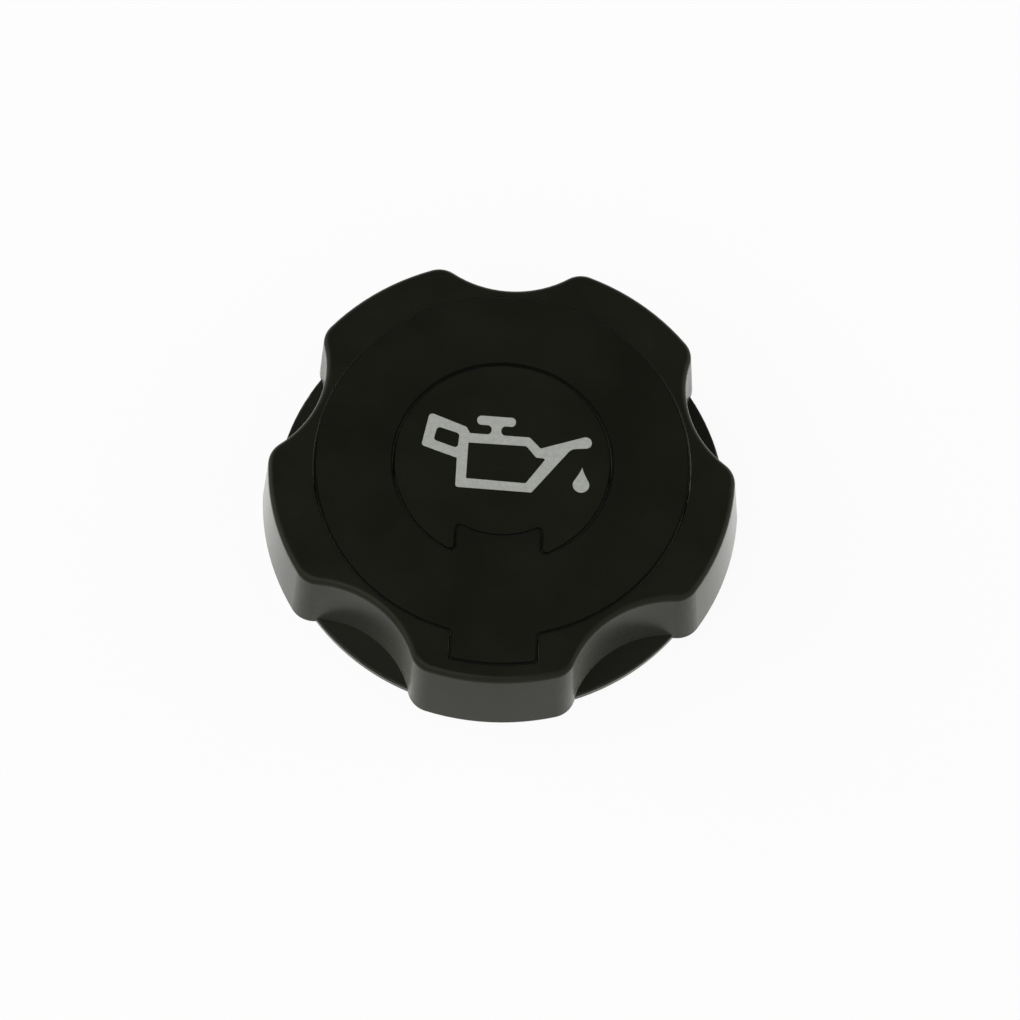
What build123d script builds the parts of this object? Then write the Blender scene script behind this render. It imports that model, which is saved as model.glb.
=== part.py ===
from build123d import *
import os
from math import tan, radians

# Oil filler cap. Millimetres, +Z up along the turning axis, key tab towards -Y.
# z = 0 is the base of the knob, where the cap seats on its filler neck.

# Grip: five lobes with finger scallops between them, widening downwards
lobe_count = 5
front_lobe_angle = -90.0   # the lobe that takes the key tab
lobe_top_r = 31.0          # lobe radius at the unrounded top edge
scallop_depth = 4.7        # scallop floor below the lobe radius
scallop_r = 14.3           # scallop arc at the top edge
lobe_corner_r = 3.4        # plan rounding between lobe and scallop
knob_height = 11.9
lobe_draft = 7.7           # degrees
scallop_draft = 4.4        # degrees, scallop walls stand steeper than the lobes
top_edge_r = 0.9
base_edge_r = 0.4
flange_inset = 1.85        # flange rim inside the lobes' foot
flange_t = 1.2
flange_edge_r = 0.3

# Hollows of the moulding: a pocket in each lobe from below, wells under the cover ring from above
wall = 2.0
rib_t = 1.5
pocket_span = 38.0         # degrees of arc
pocket_corner_r = 0.8

# Cover ring and centre disc in the top recess
recess_rim = 1.15          # land between the recess and a scallop floor
recess_depth = 1.6
cover_gap = 0.17           # seam round the ring and round the disc
cover_proud = 0.25
cover_ledge = 1.2          # shoulder under the ring's outer edge
cover_edge_r = 0.3
disc_r = 14.42
disc_edge_r = 0.15
key_w = 11.2               # tab and tongue
tab_reach = 3.8
tongue_reach = 3.8
key_corner_r = 0.6

# Plug with seal groove and bayonet lugs
plug_r = 19.3
plug_wall = 2.2
plug_depth = 15.0          # below the base
plug_edge = 1.0            # chamfer at the plug's end
groove_depth = 0.6
seal_section = 3.8
seal_clearance = 0.05
groove_spare = 0.4         # groove height beyond the seal
lug_count = 2
lug_mid_angle = 0.0
lug_span = 56.0            # degrees of arc
lug_reach = 3.2
lug_h = 3.2
lug_above_end = 1.6
lug_ramp_span = 28.0       # degrees of arc, at the end that leads when closing
lug_ramp = 12.0            # degrees of slope
stop_span = 6.0            # degrees of arc, at the other end
stop_h = 2.0

# Values that follow from those above
lobe_pitch = 360.0 / lobe_count
scallop_angle = front_lobe_angle + lobe_pitch / 2
lobe_base_r = lobe_top_r + knob_height * tan(radians(lobe_draft))
scallop_floor_r = lobe_top_r - scallop_depth
scallop_base_r = scallop_r - knob_height * tan(radians(scallop_draft))
flange_r = lobe_base_r - flange_inset
recess_r = scallop_floor_r - recess_rim
recess_z = knob_height - recess_depth
cover_r = recess_r - cover_gap
cover_inner_r = disc_r + cover_gap
cover_top_z = knob_height + cover_proud
hub_pocket_r = recess_r - cover_ledge
hub_r = hub_pocket_r + wall
plug_bore_r = plug_r - plug_wall
ceiling_z = recess_z - wall
groove_r = plug_r - groove_depth
groove_h = seal_section + groove_spare
tab_end_r = cover_r + tab_reach
tongue_end_r = cover_inner_r - tongue_reach
lug_low_z = -plug_depth + lug_above_end
lug_high_z = lug_low_z + lug_h
lug_r = plug_r + lug_reach

# How a primitive stands: centred on its base, or running out along X from the axis
upright = (Align.CENTER, Align.CENTER, Align.MIN)
radial = (Align.MIN, Align.CENTER, Align.MIN)


def disc_solid(radius, low, high):
    return Pos(0, 0, low) * Cylinder(radius, high - low, align=upright)


def lobed_solid(inset, height, corner_r):
    """The grip's form set in by inset all round: a cone cut by scallop cones, corners rounded."""
    low_r = lobe_base_r - inset
    high_r = low_r - height * tan(radians(lobe_draft))
    body = Rot(0, 0, scallop_angle) * Cone(low_r, high_r, height, align=upright)
    cut_low_r = scallop_base_r + inset
    cut_high_r = cut_low_r + height * tan(radians(scallop_draft))
    places = PolarLocations(scallop_floor_r + scallop_r, lobe_count, start_angle=scallop_angle)
    body -= places * Cone(cut_low_r, cut_high_r, height, align=upright)
    corners = body.edges().filter_by(lambda edge: abs((edge @ 0).Z - (edge @ 1).Z) > height / 2)
    return fillet(corners, corner_r)


def ring_sector(inner_r, outer_r, low, high, start_angle, span):
    """A piece of a ring with a plain rectangular section."""
    section = Plane.XZ * Pos(inner_r, low) * Rectangle(outer_r - inner_r, high - low, align=Align.MIN)
    return Rot(0, 0, start_angle) * revolve(section, axis=Axis.Z, revolution_arc=span)


def key_corners(plan, width):
    return plan.vertices().filter_by(lambda corner: abs(corner.X) < width / 2 + 0.001 and corner.Y < 0)


def tabbed_plan(radius, tab_r, width):
    """A disc with a tab at -Y that ends on a larger concentric arc."""
    tab = Rectangle(width, tab_r, align=(Align.CENTER, Align.MAX)) & Circle(tab_r)
    plan = Circle(radius) + tab
    return fillet(key_corners(plan, width), key_corner_r)


def notched_plan(radius, notch_r, width):
    """A disc with a notch at -Y that ends on a smaller concentric arc."""
    notch = Rectangle(width, radius, align=(Align.CENTER, Align.MAX)) - Circle(notch_r)
    plan = Circle(radius) - notch
    return fillet(key_corners(plan, width), key_corner_r)


def grip_shell():
    """Lobed grip with rounded edges, on the round flange that shows at the foot of the scallops."""
    grip = lobed_solid(0, knob_height, lobe_corner_r)
    grip = fillet(grip.faces().sort_by(Axis.Z)[-1].edges(), top_edge_r)
    grip = fillet(grip.faces().sort_by(Axis.Z)[0].edges(), base_edge_r)
    flange = disc_solid(flange_r, 0, flange_t)
    return grip + fillet(flange.edges().sort_by(Axis.Z)[-1], flange_edge_r)


def lobe_pockets():
    """Hollows in the lobes, open below, each parted by a rib and kept clear of the tab's seat."""
    depth = knob_height - wall
    lobes = PolarLocations(0, lobe_count, start_angle=front_lobe_angle)
    sector = ring_sector(hub_r, lobe_base_r, 0, depth, -pocket_span / 2, pocket_span)
    pockets = lobed_solid(wall, depth, pocket_corner_r) & (Part() + lobes * sector)
    pockets -= lobes * Box(lobe_base_r, rib_t, depth, align=radial)
    seat_w = key_w + 2 * cover_gap + 2 * wall
    seat_align = (Align.CENTER, Align.MAX, Align.MIN)
    return pockets - Pos(0, 0, ceiling_z) * Box(seat_w, lobe_base_r, depth, align=seat_align)


def cover_wells():
    """Ring of wells under the cover ring, open above, parted by ribs at the scallops."""
    depth = recess_z - wall
    wells = disc_solid(hub_pocket_r, wall, recess_z) - disc_solid(plug_r, wall, recess_z)
    scallops = PolarLocations(0, lobe_count, start_angle=scallop_angle)
    rib = Pos(0, 0, wall) * Box(hub_r, rib_t, depth, align=radial)
    return wells - scallops * rib


def plug():
    """Plug with a groove for the seal at its root and a chamfered end."""
    outline = Polyline(
        (0, 0),
        (groove_r, 0),
        (groove_r, -groove_h),
        (plug_r, -groove_h - groove_depth),
        (plug_r, -plug_depth + plug_edge),
        (plug_r - plug_edge, -plug_depth),
        (0, -plug_depth),
        close=True,
    )
    return revolve(Plane.XZ * make_face(outline), axis=Axis.Z)


def bayonet_lug():
    """Lug about the +X side, with a ramp at the leading end and a stop at the other."""
    root_r = plug_r - plug_wall / 2
    start = -lug_span / 2
    lug = ring_sector(root_r, lug_r, lug_low_z, lug_high_z, start, lug_span)
    slope = Rot(0, 0, start + lug_ramp_span) * Pos(0, 0, lug_high_z) * Rot(lug_ramp, 0, 0)
    lug -= slope * Box(2 * lug_r, lug_r, lug_h, align=(Align.MIN, Align.MAX, Align.MIN))
    stop_z = lug_high_z + stop_h
    return lug + ring_sector(root_r, lug_r, lug_high_z, stop_z, -start - stop_span, stop_span)


def grip_knob():
    recess = tabbed_plan(recess_r, tab_end_r + cover_gap, key_w + 2 * cover_gap)
    knob = grip_shell() - Pos(0, 0, recess_z) * extrude(recess, amount=recess_depth)
    knob = knob - lobe_pockets() - cover_wells()
    knob += plug()
    knob += PolarLocations(0, lug_count, start_angle=lug_mid_angle) * bayonet_lug()
    return knob - disc_solid(plug_bore_r, -plug_depth, ceiling_z)


def cover_ring():
    plan = tabbed_plan(cover_r, tab_end_r, key_w) - notched_plan(cover_inner_r, tongue_end_r, key_w)
    ring = Pos(0, 0, recess_z) * extrude(plan, amount=cover_top_z - recess_z)
    return fillet(ring.faces().sort_by(Axis.Z)[-1].edges(), cover_edge_r)


def symbol_disc():
    plan = notched_plan(disc_r, tongue_end_r - cover_gap, key_w + 2 * cover_gap)
    disc = Pos(0, 0, recess_z) * extrude(plan, amount=recess_depth)
    return fillet(disc.faces().sort_by(Axis.Z)[-1].edges(), disc_edge_r)


def sealing_ring():
    section_r = seal_section / 2
    return Pos(0, 0, -section_r) * Torus(groove_r + seal_clearance + section_r, section_r)


pieces = {
    "grip_knob": grip_knob(),
    "cover_ring": cover_ring(),
    "symbol_disc": symbol_disc(),
    "sealing_ring": sealing_ring(),
}
os.makedirs("parts", exist_ok=True)
for name, piece in pieces.items():
    export_step(piece, f"parts/{name}.step")
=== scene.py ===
import bpy
import bmesh
import math
from mathutils import Matrix, Vector


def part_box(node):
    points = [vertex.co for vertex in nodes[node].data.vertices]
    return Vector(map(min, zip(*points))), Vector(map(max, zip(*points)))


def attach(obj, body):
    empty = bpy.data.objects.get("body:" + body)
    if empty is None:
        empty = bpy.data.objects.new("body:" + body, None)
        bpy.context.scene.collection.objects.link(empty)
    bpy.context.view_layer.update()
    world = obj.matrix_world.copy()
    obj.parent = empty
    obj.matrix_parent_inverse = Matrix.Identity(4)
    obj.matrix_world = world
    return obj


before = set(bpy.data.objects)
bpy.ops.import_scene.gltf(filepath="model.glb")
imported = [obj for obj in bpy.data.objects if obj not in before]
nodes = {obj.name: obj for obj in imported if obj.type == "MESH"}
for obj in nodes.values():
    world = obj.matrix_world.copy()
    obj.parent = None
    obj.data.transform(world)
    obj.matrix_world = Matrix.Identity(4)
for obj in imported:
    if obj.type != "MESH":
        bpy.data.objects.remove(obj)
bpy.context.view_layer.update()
scene = bpy.context.scene
scene.view_settings.view_transform = "Standard"
mm = 0.001
print("frame loaded:", ", ".join(sorted(nodes)))

ringLow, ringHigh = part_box("cover_ring")
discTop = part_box("symbol_disc")[1].z
floorGap = 0.02 * mm
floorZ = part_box("grip_knob")[0].z - floorGap   # just under the plug's end, on which the cap stands


# node helpers
def addNode(tree, kind, settings=None, inputs=None):
    node = tree.nodes.new(kind)
    for name, value in (settings or {}).items():
        setattr(node, name, value)
    for name, value in (inputs or {}).items():
        if isinstance(value, bpy.types.NodeSocket):
            tree.links.new(value, node.inputs[name])
        else:
            node.inputs[name].default_value = value
    return node


def newMaterial(name):
    material = bpy.data.materials.new(name)
    material.use_nodes = True
    material.node_tree.nodes.clear()
    return material, material.node_tree


def noiseAt(tree, size, detail, stretch=(1, 1, 1), harshness=0.55):
    place = addNode(tree, "ShaderNodeTexCoord")
    turned = addNode(tree, "ShaderNodeMapping", {"vector_type": "TEXTURE"},
                     {"Vector": place.outputs["Object"], "Scale": stretch})
    noise = addNode(tree, "ShaderNodeTexNoise", {"noise_dimensions": "3D"},
                    {"Vector": turned.outputs["Vector"], "Scale": 1 / size,
                     "Detail": detail, "Roughness": harshness})
    return noise.outputs["Fac"]


def remap(tree, value, low, high, toLow, toHigh):
    node = addNode(tree, "ShaderNodeMapRange", {"clamp": True},
                   {"Value": value, "From Min": low, "From Max": high,
                    "To Min": toLow, "To Max": toHigh})
    return node.outputs["Result"]


def combine(tree, operation, first, second):
    return addNode(tree, "ShaderNodeMath", {"operation": operation}, {0: first, 1: second}).outputs[0]


def allOf(tree, first, second, third):
    return combine(tree, "MULTIPLY", combine(tree, "MULTIPLY", first, second), third)


def blendColours(tree, amount, first, second):
    node = addNode(tree, "ShaderNodeMix", {"data_type": "RGBA"}, {0: amount, 6: first, 7: second})
    return node.outputs[2]


# moulded plastic: fine spark-eroded grain, slow change of gloss, faint scuffs, worn gloss, paler dust
# with painted light low in the scallops, and painted shade in the seams
gripLook = {
    "deep": (0.0095, 0.0098, 0.0069, 1),
    "pale": (0.0126, 0.0128, 0.0093, 1),
    "cloudSize": 9 * mm,
    "cloudDetail": 3,
    "cloudSpan": (0.35, 0.65),   # noise values that turn deep into pale
    "grainSize": 0.16 * mm,
    "grainDetail": 2,
    "grainHeight": 0.003 * mm,
    "roughLow": 0.24,
    "roughHigh": 0.29,
    "roughSpan": (0.3, 0.7),
    "scuffSize": 2.2 * mm,
    "scuffDetail": 6,
    "scuffStretch": (6, 1, 1),
    "scuffSpan": (0.62, 0.75),
    "scuffGloss": 0.08,
    "ior": 1.20,
    "tint": (0.92, 1.0, 0.72, 1),
    "sheen": 0.45,               # dusty look of the walls at a glancing view
    "sheenSpread": 0.30,
    "sheenTint": (0.97, 1.0, 0.88, 1),
    # paler colour: dust, and painted light on the flange and low in the scallops
    "dustAndLight": (0.017, 0.017, 0.0135, 1),
    "dustAndLightFoot": 1.0 * mm,        # dust and painted light lie on the flange and fade out up the scallops
    "dustAndLightEnd": 4.5 * mm,
    "dustAndLightRadius": 31.0 * mm,     # none on the lobes' outer walls
    "seamShade": (0.0012, 0.0012, 0.0010, 1),   # painted shade down the seam round the cover ring, on a dull surface
    "seamShadeRough": 0.95,
    "seamShadeFoot": ringLow.z,
    "seamShadeRadius": ringHigh.x + 0.2 * mm,
    "seamShadeTilt": (0.94, 0.995),  # upward part of the normal, from a seam's edge to the flat
    "wornRadius": 31.15 * mm,    # lobe walls outside it are polished by hands
    "wornGloss": 0.12,
    "softEdge": 0.15 * mm,       # over which the dust with painted light, the painted seam shade and the wear fade out
}
coverLook = dict(
    gripLook,
    deep=(0.0084, 0.0087, 0.0061, 1),
    pale=(0.0110, 0.0112, 0.0082, 1),
    cloudSize=12 * mm,
    sheen=0.15,
    seamShadeRadius=40 * mm,   # painted shade on all seams of the covers
)
discLook = dict(coverLook, deep=(0.0096, 0.0099, 0.0070, 1), pale=(0.0124, 0.0126, 0.0092, 1))


def heightAndRadius(tree):
    place = addNode(tree, "ShaderNodeTexCoord").outputs["Object"]
    height = addNode(tree, "ShaderNodeSeparateXYZ", None, {"Vector": place}).outputs["Z"]
    flat = addNode(tree, "ShaderNodeVectorMath", {"operation": "MULTIPLY"}, {0: place, 1: (1, 1, 0)})
    radius = addNode(tree, "ShaderNodeVectorMath", {"operation": "LENGTH"}, {0: flat.outputs["Vector"]})
    return height, radius.outputs["Value"]


# dust and painted light: paler colour on the flange, fading out up the scallops
def dustAndLightAmount(tree, look, height, radius):
    foot, rim, soft = look["dustAndLightFoot"], look["dustAndLightRadius"], look["softEdge"]
    fade = remap(tree, height, foot, look["dustAndLightEnd"], 1, 0)
    above = remap(tree, height, foot - soft, foot, 0, 1)
    within = remap(tree, radius, rim - soft, rim + soft, 1, 0)
    return allOf(tree, fade, above, within)


# painted shade: near-black colour on the tilted edges of the seams, where the gaps' shade falls
def seamShadeAmount(tree, look, height, radius):
    foot, rim, soft = look["seamShadeFoot"], look["seamShadeRadius"], look["softEdge"]
    facing = addNode(tree, "ShaderNodeNewGeometry").outputs["Normal"]
    upward = addNode(tree, "ShaderNodeSeparateXYZ", None, {"Vector": facing}).outputs["Z"]
    tilted = remap(tree, upward, *look["seamShadeTilt"], 1, 0)
    above = remap(tree, height, foot - soft, foot, 0, 1)
    within = remap(tree, radius, rim, rim + soft, 1, 0)
    return allOf(tree, tilted, above, within)


def mouldedPlastic(name, look):
    material, tree = newMaterial(name)
    height, radius = heightAndRadius(tree)
    cloud = noiseAt(tree, look["cloudSize"], look["cloudDetail"])
    colour = blendColours(tree, remap(tree, cloud, *look["cloudSpan"], 0, 1), look["deep"], look["pale"])
    # paler colour on the flange: dust and painted light
    colour = blendColours(tree, dustAndLightAmount(tree, look, height, radius), colour, look["dustAndLight"])
    grain = noiseAt(tree, look["grainSize"], look["grainDetail"])
    scuff = noiseAt(tree, look["scuffSize"], look["scuffDetail"], look["scuffStretch"])
    streak = remap(tree, scuff, *look["scuffSpan"], 0, look["scuffGloss"])
    rough = remap(tree, cloud, *look["roughSpan"], look["roughLow"], look["roughHigh"])
    rough = combine(tree, "ADD", rough, streak)
    wall, soft = look["wornRadius"], look["softEdge"]
    worn = remap(tree, radius, wall - soft, wall + soft, 0, look["wornGloss"])
    rough = combine(tree, "SUBTRACT", rough, worn)
    # painted shade darkens the seam edges, which are also made dull
    seamShade = seamShadeAmount(tree, look, height, radius)
    colour = blendColours(tree, seamShade, colour, look["seamShade"])
    dull = remap(tree, seamShade, 0, 1, 0, look["seamShadeRough"])
    rough = combine(tree, "MAXIMUM", rough, dull)
    bump = addNode(tree, "ShaderNodeBump", None,
                   {"Height": grain, "Distance": look["grainHeight"], "Strength": 1.0})
    shader = addNode(tree, "ShaderNodeBsdfPrincipled", None,
                     {"Base Color": colour, "Roughness": rough, "IOR": look["ior"],
                      "Specular Tint": look["tint"], "Sheen Weight": look["sheen"],
                      "Sheen Roughness": look["sheenSpread"], "Sheen Tint": look["sheenTint"],
                      "Normal": bump.outputs["Normal"]})
    addNode(tree, "ShaderNodeOutputMaterial", None, {"Surface": shader.outputs[0]})
    return material


# rubber of the seal: darker, duller, with a fine bloom
sealLook = {
    "deep": (0.006, 0.006, 0.006, 1),
    "bloom": (0.014, 0.014, 0.0135, 1),
    "bloomSize": 2.5 * mm,
    "bloomDetail": 5,
    "bloomSpan": (0.4, 0.75),
    "grainSize": 0.35 * mm,
    "grainDetail": 3,
    "grainHeight": 0.01 * mm,
    "roughLow": 0.5,
    "roughHigh": 0.62,
    "roughSpan": (0.3, 0.7),
    "ior": 1.52,
}


def sealRubber(name, look):
    material, tree = newMaterial(name)
    bloom = noiseAt(tree, look["bloomSize"], look["bloomDetail"])
    colour = blendColours(tree, remap(tree, bloom, *look["bloomSpan"], 0, 1), look["deep"], look["bloom"])
    grain = noiseAt(tree, look["grainSize"], look["grainDetail"])
    rough = remap(tree, bloom, *look["roughSpan"], look["roughLow"], look["roughHigh"])
    bump = addNode(tree, "ShaderNodeBump", None, {"Height": grain, "Distance": look["grainHeight"]})
    shader = addNode(tree, "ShaderNodeBsdfPrincipled", None,
                     {"Base Color": colour, "Roughness": rough, "IOR": look["ior"],
                      "Normal": bump.outputs["Normal"]})
    addNode(tree, "ShaderNodeOutputMaterial", None, {"Surface": shader.outputs[0]})
    return material


# printed ink of the oil sign
inkLook = {
    "deep": (0.34, 0.35, 0.325, 1),
    "pale": (0.42, 0.43, 0.40, 1),
    "mottleSize": 0.5 * mm,
    "mottleDetail": 4,
    "mottleSpan": (0.3, 0.7),
    "grainSize": 0.12 * mm,
    "grainDetail": 2,
    "grainHeight": 0.006 * mm,
    "roughLow": 0.42,
    "roughHigh": 0.55,
    "ior": 1.48,
}


def printInk(name, look):
    material, tree = newMaterial(name)
    mottle = noiseAt(tree, look["mottleSize"], look["mottleDetail"])
    paleShare = remap(tree, mottle, *look["mottleSpan"], 0, 1)
    colour = blendColours(tree, paleShare, look["deep"], look["pale"])
    grain = noiseAt(tree, look["grainSize"], look["grainDetail"])
    rough = remap(tree, mottle, *look["mottleSpan"], look["roughLow"], look["roughHigh"])
    bump = addNode(tree, "ShaderNodeBump", None, {"Height": grain, "Distance": look["grainHeight"]})
    shader = addNode(tree, "ShaderNodeBsdfPrincipled", None,
                     {"Base Color": colour, "Roughness": rough, "IOR": look["ior"],
                      "Normal": bump.outputs["Normal"]})
    addNode(tree, "ShaderNodeOutputMaterial", None, {"Surface": shader.outputs[0]})
    return material


finishes = {
    "grip_knob": mouldedPlastic("gripPlastic", gripLook),
    "cover_ring": mouldedPlastic("coverPlastic", coverLook),
    "symbol_disc": mouldedPlastic("discPlastic", discLook),
    "sealing_ring": sealRubber("sealRubber", sealLook),
}
for nodeName, finish in finishes.items():
    slots = nodes[nodeName].data.materials
    slots.clear()
    slots.append(finish)
print("finishes on", len(finishes), "moulded pieces")

# the oil sign: x, y and corner radius in millimetres, in the sign's own frame
oilSign = {
    "turn": -1.6,            # degrees, as the print sits on the disc
    "thickness": 0.03 * mm,
    "sunk": 0.01 * mm,       # ink below the disc's face
    "weld": 0.0005 * mm,     # points closer than this become one
    "arcSteps": 8,
    "canOutline": [
        (-10.20, 6.55, 0.50), (-5.10, 4.75, 0.25), (-4.60, 3.88, 0.10),      # handle top
        (-1.75, 3.86, 0.60), (-1.75, 5.25, 0.60),                            # neck, left
        (-3.78, 5.25, 0.62), (-3.78, 6.60, 0.62), (1.42, 6.60, 0.62), (1.42, 5.25, 0.62),   # cap bar
        (-0.45, 5.25, 0.60), (-0.45, 3.86, 0.60),                            # neck, right
        (3.42, 3.86, 0.70), (4.95, 2.32, 0.25),                              # shoulder and valley
        (11.42, 4.72, 0.80), (12.00, 2.95, 0.80),                            # spout's end
        (9.05, 2.58, 1.30), (4.15, -4.20, 0.25),                             # underside and base
        (-5.95, -4.15, 0.35), (-6.07, 0.10, 0.08), (-10.92, 1.62, 0.45),     # base and handle foot
    ],
    "handleHole": [(-9.00, 4.56, 0.50), (-5.96, 3.70, 0.55), (-6.07, 1.50, 0.42), (-9.38, 2.52, 0.45)],
    "bodyHole": [
        (-4.70, 2.48, 0.15), (3.05, 2.55, 0.60), (4.45, 0.97, 0.12),
        (5.78, 0.90, 0.20), (3.30, -2.93, 0.35), (-4.64, -2.80, 0.20),
    ],
    "dropTip": (10.66, -0.02),
    "dropCentre": (10.63, -2.60),
    "dropRadius": 1.10,
    "dropFlank": (0.12, -0.60),   # bend of the flank, from the tip
    "dropShoulder": 30,           # degrees above level where flank meets round
}


def roundedLoop(corners, steps):
    loop = []
    for i, (x, y, radius) in enumerate(corners):
        corner = Vector((x, y))
        back = (Vector(corners[i - 1][:2]) - corner).normalized()
        ahead = (Vector(corners[(i + 1) % len(corners)][:2]) - corner).normalized()
        half = back.angle(ahead) / 2
        centre = corner + (back + ahead).normalized() * radius / math.sin(half)
        first = corner + back * radius / math.tan(half) - centre
        last = corner + ahead * radius / math.tan(half) - centre
        sweep = math.copysign(math.pi - 2 * half, first.cross(last))
        for k in range(steps + 1):
            loop.append(centre + Matrix.Rotation(sweep * k / steps, 2) @ first)
    return loop


def dropLoop(sign):
    tip, centre = Vector(sign["dropTip"]), Vector(sign["dropCentre"])
    bendX, bendY = sign["dropFlank"]
    shoulder = math.radians(sign["dropShoulder"])
    steps = 3 * sign["arcSteps"]
    sweep = math.pi + 2 * shoulder
    bowl = []
    for k in range(steps + 1):
        angle = shoulder - sweep * k / steps
        bowl.append(centre + sign["dropRadius"] * Vector((math.cos(angle), math.sin(angle))))
    flanks = []
    for side, end in ((-1, bowl[-1]), (1, bowl[0])):
        bend = tip + Vector((side * bendX, bendY))
        ts = [k / sign["arcSteps"] for k in range(1, sign["arcSteps"])]
        flanks.append([(1 - t) ** 2 * end + 2 * t * (1 - t) * bend + t * t * tip for t in ts])
    return bowl + flanks[0] + [tip] + flanks[1][::-1]


def printedSign(name, loops, sign):
    curve = bpy.data.curves.new(name, "CURVE")
    curve.dimensions = "2D"
    curve.fill_mode = "BOTH"
    curve.extrude = (sign["thickness"] + sign["sunk"]) / 2
    turn = Matrix.Rotation(math.radians(sign["turn"]), 2)
    for loop in loops:
        spline = curve.splines.new("POLY")
        spline.points.add(len(loop) - 1)
        spline.use_cyclic_u = True
        for point, place in zip(spline.points, loop):
            point.co = (*(turn @ place * mm), 0, 1)
    draft = bpy.data.objects.new(name + "Draft", curve)
    scene.collection.objects.link(draft)
    bpy.context.view_layer.update()
    mesh = bpy.data.meshes.new_from_object(draft.evaluated_get(bpy.context.evaluated_depsgraph_get()))
    bpy.data.objects.remove(draft)
    solid = bmesh.new()
    solid.from_mesh(mesh)
    bmesh.ops.remove_doubles(solid, verts=solid.verts, dist=sign["weld"])
    middle = discTop + (sign["thickness"] - sign["sunk"]) / 2
    bmesh.ops.translate(solid, verts=solid.verts, vec=(0, 0, middle))
    solid.to_mesh(mesh)
    solid.free()
    piece = bpy.data.objects.new(name, mesh)
    scene.collection.objects.link(piece)
    return piece


ink = printInk("signInk", inkLook)
canParts = ("canOutline", "handleHole", "bodyHole")
canLoops = [roundedLoop(oilSign[part], oilSign["arcSteps"]) for part in canParts]
for name, loops in (("oilCanSign", canLoops), ("oilDropSign", [dropLoop(oilSign)])):
    piece = printedSign(name, loops, oilSign)
    piece.data.materials.clear()
    piece.data.materials.append(ink)
    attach(piece, "root")
print("oil sign printed")

# white floor that keeps the cap's shadow
floorLook = {
    "size": 20.0,
    "colour": (0.90, 0.90, 0.89, 1),
    "whiteShare": 0.92,   # share of plain white in what the camera, gloss and glass see
}


def whiteFloor(look):
    half = look["size"] / 2
    mesh = bpy.data.meshes.new("floor")
    corners = [(-half, -half), (half, -half), (half, half), (-half, half)]
    mesh.from_pydata([(x, y, floorZ) for x, y in corners], [], [(0, 1, 2, 3)])
    floor = bpy.data.objects.new("floor", mesh)
    scene.collection.objects.link(floor)
    material, tree = newMaterial("floorPaper")
    ray = addNode(tree, "ShaderNodeLightPath")
    seen = combine(tree, "MAXIMUM", ray.outputs["Is Camera Ray"], ray.outputs["Is Glossy Ray"])
    seen = combine(tree, "MAXIMUM", seen, ray.outputs["Is Transmission Ray"])
    share = combine(tree, "MULTIPLY", seen, look["whiteShare"])
    paper = addNode(tree, "ShaderNodeBsdfDiffuse", None, {"Color": look["colour"]})
    white = addNode(tree, "ShaderNodeEmission", None, {"Color": (1, 1, 1, 1), "Strength": 1.0})
    mixed = addNode(tree, "ShaderNodeMixShader", None,
                    {0: share, 1: paper.outputs[0], 2: white.outputs[0]})
    addNode(tree, "ShaderNodeOutputMaterial", None, {"Surface": mixed.outputs[0]})
    mesh.materials.append(material)


whiteFloor(floorLook)

# light: pale surround with a dark flag overhead, a soft box high in front and one on each side
surround = {
    "flag": (0, 0.42, 0.907),   # towards the middle of the flag, which the cap's top mirrors
    # level by nearness to the flag
    "stops": [(0.0, 0.96), (0.45, 0.96), (0.65, 0.6), (0.82, 0.12), (0.9, 0.03), (1.0, 0.02)],
}
softBoxes = {
    "keyBox": {"place": (-0.45, -0.40, 1.10), "size": 1.0, "watts": 5.5},
    "leftBox": {"place": (-1.15, 0.20, 0.58), "size": 1.1, "watts": 3.5},
    "rightBox": {"place": (1.15, 0.30, 0.58), "size": 1.1, "watts": 2.5},
}


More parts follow.
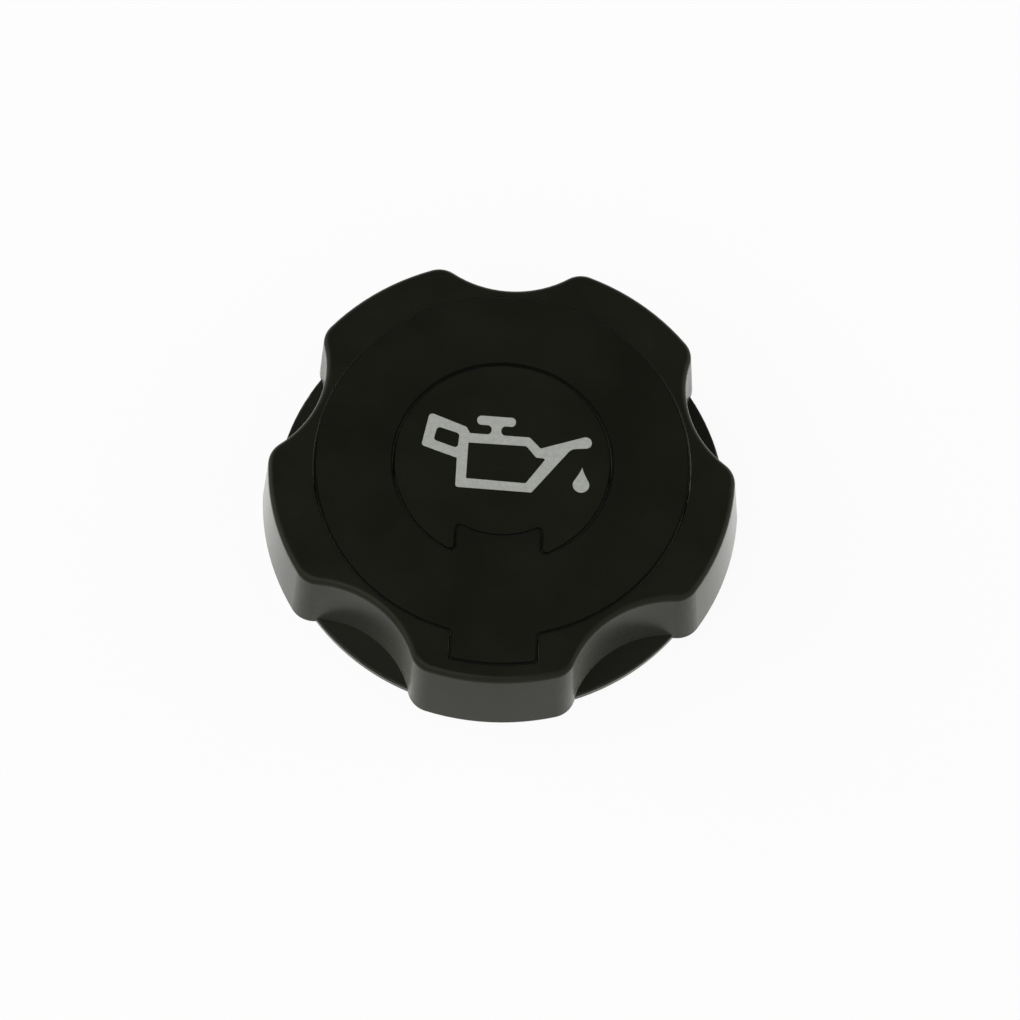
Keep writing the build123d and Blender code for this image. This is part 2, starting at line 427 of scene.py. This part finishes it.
def lightSurround(look):
    world = bpy.data.worlds.new("surround")
    world.use_nodes = True
    tree = world.node_tree
    tree.nodes.clear()
    place = addNode(tree, "ShaderNodeTexCoord")
    near = addNode(tree, "ShaderNodeVectorMath", {"operation": "DOT_PRODUCT"},
                   {0: place.outputs["Generated"], 1: look["flag"]})
    ramp = addNode(tree, "ShaderNodeValToRGB", None, {0: near.outputs["Value"]})
    stops = ramp.color_ramp.elements
    while len(stops) < len(look["stops"]):
        stops.new(1.0)
    for stop, (nearness, level) in zip(stops, look["stops"]):
        stop.position = nearness
        stop.color = (level, level, level, 1)
    glow = addNode(tree, "ShaderNodeBackground", None,
                   {"Color": ramp.outputs["Color"], "Strength": 1.0})
    addNode(tree, "ShaderNodeOutputWorld", None, {"Surface": glow.outputs[0]})
    scene.world = world


def softBox(name, look):
    light = bpy.data.lights.new(name, "AREA")
    light.size = look["size"]
    light.energy = look["watts"]
    box = bpy.data.objects.new(name, light)
    box.location = look["place"]
    box.rotation_euler = (-Vector(look["place"])).to_track_quat("-Z", "Y").to_euler()
    box.visible_camera = False
    scene.collection.objects.link(box)


lightSurround(surround)
for name, look in softBoxes.items():
    softBox(name, look)
print("floor, surround and", len(softBoxes), "soft boxes set")

# camera, from the cap's outline and the ring's seam circles in the photograph
photoView = {
    "elevation": 64.35,            # degrees above level
    "roll": 2.71,                  # degrees
    "distance": 320 * mm,          # to the middle of the cover ring
    "pixelsPerMetre": 7528.0,      # at that distance
    "ringPixel": (502.3, 460.9),   # where that middle lies in the picture
    "picture": 1020,               # pixels a side
    "sensor": 36.0,
    "clip": (0.01, 50.0),
}


def photoCamera(look):
    elevation, roll = math.radians(look["elevation"]), math.radians(look["roll"])
    back = Vector((0, -math.cos(elevation), math.sin(elevation)))
    level = Vector((1, 0, 0))
    rise = back.cross(level)
    right = level * math.cos(roll) + rise * math.sin(roll)
    up = rise * math.cos(roll) - level * math.sin(roll)
    focal = look["pixelsPerMetre"] * look["distance"]
    middle = look["picture"] / 2
    u, v = look["ringPixel"]
    ray = Vector(((u - middle) / focal, (middle - v) / focal, -1)).normalized()
    aim = Vector((0, 0, -1)).rotation_difference(ray).to_matrix()
    turn = Matrix((right, up, back)).transposed() @ aim.transposed()
    data = bpy.data.cameras.new("photoCamera")
    data.sensor_width = look["sensor"]
    data.lens = focal / look["picture"] * look["sensor"]
    data.clip_start, data.clip_end = look["clip"]
    camera = bpy.data.objects.new("photoCamera", data)
    place = Vector((0, 0, ringHigh.z)) + back * look["distance"]
    camera.matrix_world = Matrix.Translation(place) @ turn.to_4x4()
    scene.collection.objects.link(camera)
    scene.camera = camera


photoCamera(photoView)
print("camera set")

bpy.context.view_layer.update()
